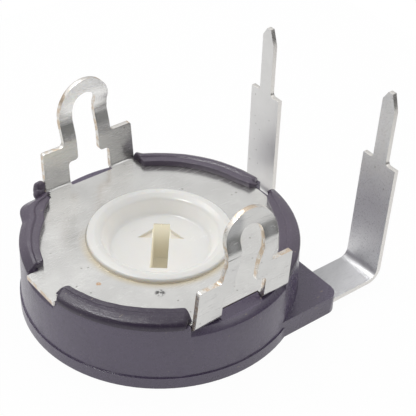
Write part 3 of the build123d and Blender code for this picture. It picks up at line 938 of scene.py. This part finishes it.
# %% [markdown]
# The two clips, the tab and a gap on the terminals' side part the rim into four lips. Start and sweep
# are their angles in the photograph. The nose and the lumps are the same for all, but each lip has
# its own seed, so that the lumps don't repeat.

# %% The four lips
lip_shapes = [  # start, sweep, slants in degrees per mm, section, shifts of the inner edge
    (4.5, 61.6, -1.5, -1.8, (8.3, 0.5, 9.0, 0.54, 0.2, 0.4), [(5, 0.2), (12, 0), (60, 0), (66, 0.1)]),
    (115.2, 54.2, 4.2, -1.0, (8.3, 0.5, 8.95, 0.54, 0.1, 0.16), [
        (121, 0.35), (130, 0.13), (137, -0.1), (145, -0.04), (153, 0.07), (160, 0.16), (168, 0.21),
    ]),
    (188.5, 57.1, -1.6, 1.4, (8.3, 0.5, 8.82, 0.55, 0.35, 0.42), [
        (188, 0.33), (189.5, 0.09), (200, 0.01), (216, -0.06), (225, -0.13), (234, -0.18),
        (243, -0.08), (247, 0.01),
    ]),
    (294.3, 61.4, 0.0, -2.4, (8.3, 0.5, 8.9, 0.54, 0.3, 0.25), [
        (307, 0.08), (316, -0.01), (334, 0.01), (340, 0.03), (345, 0.14), (350, 0.28), (354, 0.68),
    ]),
]
lips = []
for number, (start, sweep, first, last, section, shifts) in enumerate(lip_shapes):
    lip = turned(
        f"lip_{number}", lip_section(*section), rolled_finish, Start=radians(start),
        Sweep=radians(sweep), Start_Slant=radians(first) / mm, End_Slant=radians(last) / mm,
        Nose=0.28 * mm, Centre_Radius=9.3 * mm, Centre_Height=(cover_top + 0.1) * mm,
        Lump_Height=0.1 * mm, Lump_Size=1.5 * mm, Lumps_Above=(cover_top - 0.05) * mm,
        Seed=number + 0.5, Steps=170,
    )
    edge_shifted(lip, shifts)
    lips.append(lip)
print("lips:", [len(lip.data.polygons) for lip in lips])

# %% [markdown]
# Where the tool squeezed out more plastic, a lip bulges over the wall, and small beads of it stand
# against the clip's feet. A soft push moves the points near a place, the most at its middle, like
# proportional editing by hand.

# %% Bulges and beads
def pushed(piece, place, reach, shift):
    """Moves the points within reach of a place, fading out smoothly. All in mm."""
    for vertex in piece.data.vertices:
        far = (vertex.co / mm - Vector(place)).length / reach
        if far < 1:
            vertex.co += Vector(shift) * mm * (1 - far * far) ** 2


def bead(name, place, size):
    """A lumpy drop of plastic."""
    shape = bmesh.new()
    bmesh.ops.create_icosphere(shape, subdivisions=4, radius=1.0)
    for vertex in shape.verts:
        lump = 1 + 0.16 * noise.noise(vertex.co * 1.2 + Vector(place))
        vertex.co = Vector(place) * mm + Vector(c * s for c, s in zip(vertex.co, size)) * lump * mm
    for face in shape.faces:
        face.smooth = True
    mesh = bpy.data.meshes.new(name)
    shape.to_mesh(mesh)
    shape.free()
    mesh.materials.append(rolled_finish)
    return add_piece(name, mesh)


back_lip, left_lip = lips[0], lips[1]
pushed(left_lip, (-6.1, 7.75, cover_top + 0.1), 1.7, (-0.34, 0.44, 0.05))
pushed(left_lip, (-9.3, 1.9, cover_top + 0.3), 1.0, (0, 0, -0.12))
pushed(back_lip, (3.9, 9.0, cover_top + 0.45), 0.85, (0.05, -0.05, 0.24))
beads = [
    bead("left_bead", (-4.3, 9.05, cover_top + 0.36), (0.46, 0.4, 0.68)),
    bead("left_bead_foot", (-4.45, 8.85, cover_top + 0.1), (0.42, 0.42, 0.5)),
]
print("beads:", len(beads), "with", sum(len(drop.data.polygons) for drop in beads), "faces")

# %% [markdown]
# Between the feet of the front clip the wall stands a little higher, nearly level with the sheet, so
# that only a bright line of the sheet's edge shows. A short bar with a sloping front makes it.

# %% Ledge
def front_ledge(half_length=1.74):
    shape = bmesh.new()
    side = [(-8.57, cover_bottom - 0.2), (-8.57, cover_top - 0.04), (-8.66, cover_top - 0.06),
            (-9.3, cover_bottom - 0.03), (-9.3, cover_bottom - 0.2)]
    ends = [
        [shape.verts.new((x * mm, y * mm, z * mm)) for y, z in side]
        for x in (-half_length, half_length)
    ]
    shape.faces.new(ends[0])
    shape.faces.new(ends[1][::-1])
    for number in range(len(side)):
        after = (number + 1) % len(side)
        shape.faces.new([ends[0][number], ends[0][after], ends[1][after], ends[1][number]])
    bmesh.ops.recalc_face_normals(shape, faces=shape.faces)
    mesh = bpy.data.meshes.new("ledge")
    shape.to_mesh(mesh)
    shape.free()
    mesh.materials.append(moulding_finish)
    return softened(add_piece("ledge", mesh), 0.06, 15)


ledge = front_ledge()
housing = joined("housing_moulding", [cup, ledge] + lips + beads)
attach(housing, "base")
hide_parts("housing")
print("housing faces:", len(housing.data.polygons))

# %% [markdown]
# ## The rivets
# A hollow rivet holds each end of the track to its terminal. Both are the same turned piece, so one
# is made and Geometry Nodes puts a copy at each place. Duplicating it by hand would do as well, but
# then a change to one rivet would have to be repeated on the other.

# %% Rivets
rivet_low, rivet_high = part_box("front_rivet")
low, high = rivet_low.z / mm, rivet_high.z / mm
rivet_profile = rounded([
    (0.4, low, 0.08), (1.05, low, 0.09), (1.05, low + 0.2, 0.05), (0.62, low + 0.2, 0.02),
    (0.62, high - 0.2, 0.02), (1.05, high - 0.2, 0.05), (1.05, high, 0.09), (0.4, high, 0.08),
], closed=True, steps=4)
rivets = turned("rivets", rivet_profile, rivet_finish, Steps=40)


def placing_tree():
    """Copies a piece to a place and to its mirror place across X."""
    group = bpy.data.node_groups.new("mirrored pair", "GeometryNodeTree")
    t = Tree(group)
    names = (("Piece", "NodeSocketGeometry"), ("Place", "NodeSocketVector"),
             ("Finish", "NodeSocketMaterial"))
    ids = {name: named_input(group, name, kind) for name, kind in names}
    group.interface.new_socket(name="Geometry", in_out="OUTPUT", socket_type="NodeSocketGeometry")
    piece, place, finish = [t.node("NodeGroupInput", out=number) for number in range(3)]
    mirror = t.vector("MULTIPLY", place, (1, -1, 1))
    ends = t.node("GeometryNodeMeshLine", {"mode": "END_POINTS"}, {
        "Count": 2, "Start Location": place, "Offset": mirror,
    })
    copies = t.node("GeometryNodeInstanceOnPoints", None, {"Points": ends, "Instance": piece})
    real = t.node("GeometryNodeRealizeInstances", None, {"Geometry": copies})
    ended = t.node("GeometryNodeSetMaterial", None, {"Geometry": real, "Material": finish})
    t.node("NodeGroupOutput", None, {0: ended})
    return group, ids


placing, placing_ids = placing_tree()
pair = rivets.modifiers.new("pair", "NODES")
pair.node_group = placing
middle = (rivet_low + rivet_high) / 2
pair[placing_ids["Place"]] = (middle.x, middle.y, 0.0)
pair[placing_ids["Finish"]] = rivet_finish
settled(rivets)
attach(rivets, "base")
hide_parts("front_rivet", "rear_rivet")
print("rivet faces:", len(rivets.data.polygons))

# %% [markdown]
# ## Table, light and camera
# The component lies on a white table. The table is pale and plain, and looks white to the camera and
# in reflections, while it still catches a little shadow. A mix of a matt and a glowing shader does
# that, and the Light Path node tells who is looking.

# %% Table
def table_finish():
    material = bpy.data.materials.new("white_table")
    material.use_nodes = True
    f = Tree(material.node_tree)
    camera, glossy, through = [
        f.node("ShaderNodeLightPath", out=name)
        for name in ("Is Camera Ray", "Is Glossy Ray", "Is Transmission Ray")
    ]
    seen = f.clamp(camera + glossy + through)
    matt = f.node("ShaderNodeBsdfDiffuse", None, {"Color": (0.86, 0.86, 0.86)})
    glow = f.node("ShaderNodeEmission", None, {"Color": (1, 1, 1), "Strength": 1.0})
    shader = f.node("ShaderNodeMixShader", None, {0: seen * 0.97, 1: matt, 2: glow})
    f.node("ShaderNodeOutputMaterial", None, {"Surface": shader})
    return material


half = 42 * mm
table_mesh = bpy.data.meshes.new("table")
table_mesh.from_pydata(
    [(-half, -half, 0), (half, -half, 0), (half, half, 0), (-half, half, 0)], [], [(0, 1, 2, 3)]
)
table_mesh.materials.append(table_finish())
table = add_piece("table", table_mesh)
print("table ready")

# %% [markdown]
# A soft tent gives most of the light. The room is darker at table height and where the photographer
# stands, and there is a soft window on the right. Bent tin shows all three as bands. Two lamps hang
# above: the larger one draws the soft shadow, and the smaller one shows only in reflections, where
# it gives the rolled lips their thin highlights.

# %% Light
world = bpy.data.worlds.new("tent")
bpy.context.scene.world = world
world.use_nodes = True
tent = Tree(world.node_tree)
across, along, up = tent.split(tent.node("ShaderNodeTexCoord", out="Generated"))


def patch(place, start, end):
    """1 around a direction, fading out between two cosines of the angle to it."""
    towards = Vector(place).normalized()
    near = across * towards.x + along * towards.y + up * towards.z
    return tent.step(near, end, start)


sky = tent.step(up, 0.0, 0.5, 0.55, 0.85) + tent.step(up, 0.5, 1.0) * 0.15
dark_floor = patch((0.5, -0.86, 0.02), 0.93, 0.76)
dark_viewer = patch((-0.44, -0.61, 0.66), 0.93, 0.7)
window = patch((0.4, -0.62, 0.68), 0.98, 0.94)
left_wall = patch((-0.55, 0.6, 0.58), 0.97, 0.85)
sky = sky * (1 - dark_floor * 0.72) * (1 - dark_viewer * 0.8) + window * 0.9 + left_wall * 0.4
camera = tent.node("ShaderNodeLightPath", out="Is Camera Ray")
shown = tent.node("ShaderNodeMix", {"data_type": "RGBA"}, {0: camera, 6: sky, 7: (1, 1, 1)}, 2)
air = tent.node("ShaderNodeBackground", None, {"Color": shown, "Strength": 1.0})
tent.node("ShaderNodeOutputWorld", None, {"Surface": air})


def soft_lamp(name, place, size, power):
    data = bpy.data.lights.new(name, "AREA")
    data.shape, data.size, data.energy = "DISK", size * mm, power
    lamp = bpy.data.objects.new(name, data)
    lamp.location = Vector(place) * mm
    lamp.rotation_euler = (-Vector(place)).to_track_quat("-Z", "Y").to_euler()
    bpy.context.scene.collection.objects.link(lamp)
    return lamp


soft_lamp("overhead", (0, 82, 124), 60, 0.042)
spark = soft_lamp("spark", (-48, 22, 132), 22, 0.08)
spark.visible_diffuse = False
print("lights ready")

# %% [markdown]
# The camera was solved from the round wall, the rotor and the clips in the photograph: its tilt, its
# turn round the part, its slight roll and its distance. The lens is long, so the lines stay nearly
# parallel.

# %% Camera
tilt, turn, roll = radians(37.198), radians(38.742), radians(1.941)
aim = Euler((pi / 2 - tilt, 0, 0)).to_matrix() @ Matrix.Rotation(roll, 3, "Z")
aim = Matrix.Rotation(-turn, 3, "Z") @ aim
eye = bpy.data.cameras.new("camera")
eye.lens, eye.sensor_width = 103.846, 36.0
eye.clip_start, eye.clip_end = 0.005, 5.0
camera_piece = bpy.data.objects.new("camera", eye)
camera_piece.location = Vector((-38.526, -53.243, 57.311)) * mm
camera_piece.rotation_euler = aim.to_euler()
bpy.context.scene.collection.objects.link(camera_piece)
bpy.context.scene.camera = camera_piece
bpy.context.scene.view_settings.view_transform = "Standard"
print("camera at", [round(v / mm, 2) for v in camera_piece.location])

# %% [markdown]
# ## Sizes
# The box of the dressed pieces should be that of the solids.
